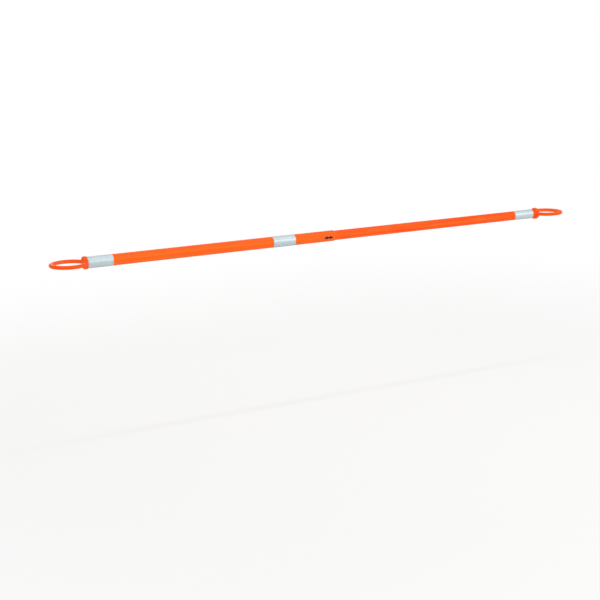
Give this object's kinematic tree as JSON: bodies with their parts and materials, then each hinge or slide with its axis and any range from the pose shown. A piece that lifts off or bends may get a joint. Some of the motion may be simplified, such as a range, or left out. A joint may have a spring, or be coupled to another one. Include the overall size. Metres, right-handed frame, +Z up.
{
  "type": "cone bar",
  "caption": "Telescoping barricade bar with a ring at each end that drops over a traffic cone, reflective bands and an internal eccentric twist lock.",
  "frame": {"origin": "centre of the fixed ring, in the plane of the ring and on the bar's axis", "axes": "+X along the bar from the fixed ring to the sliding ring, +Z up along the rings' axes, +Y away from the picture's camera"},
  "size_m": [2.134, 0.1328, 0.0446],
  "materials": {
    "orange_tube": "extruded, semi-gloss, fine lengthwise die lines",
    "orange_moulding": "moulded, satin, more saturated than the tubes",
    "reflective_sheeting": "silver-white prismatic sheeting",
    "natural_nylon": "moulded, off-white, slightly waxy",
    "lock_polymer": "moulded, dark grey, matt",
    "zinc_steel": "zinc plated"
  },
  "bodies": {
    "fixed_part": {"outer_tube": "orange_tube", "fixed_ring_end": "orange_moulding", "adaptor_bush": "natural_nylon", "fixed_end_pin": "zinc_steel", "mouth_bush": "orange_tube", "left_band": "reflective_sheeting", "middle_band": "reflective_sheeting"},
    "glide": {"glide_ring": "natural_nylon"},
    "sliding_part": {"inner_tube": "orange_tube", "sliding_ring_end": "orange_moulding", "sliding_end_pin": "zinc_steel", "right_band": "reflective_sheeting", "lock_plug": "natural_nylon", "lock_plug_pin": "zinc_steel", "cam_washer": "zinc_steel", "cam_screw": "zinc_steel"},
    "cam": {"lock_cam": "lock_polymer"}
  },
  "joints": [
    {"name": "tube_slide", "type": "slide", "parent": "fixed_part", "child": "glide", "axis": [1, 0, 0], "range_m": [-0.8235, 0]},
    {"name": "tube_twist", "type": "hinge", "parent": "glide", "child": "sliding_part", "pos_m": [0.9685, 0, 0], "axis": [1, 0, 0], "range_deg": [-60, 0]},
    {"name": "cam_turn", "type": "hinge", "parent": "sliding_part", "child": "cam", "pos_m": [0.95305, 0.00069, 0.0004], "axis": [1, 0, 0], "range_deg": [0, 60]}
  ],
  "couplings": [
    {"joint": "cam_turn", "follows": "tube_twist", "ratio": -1}
  ]
}
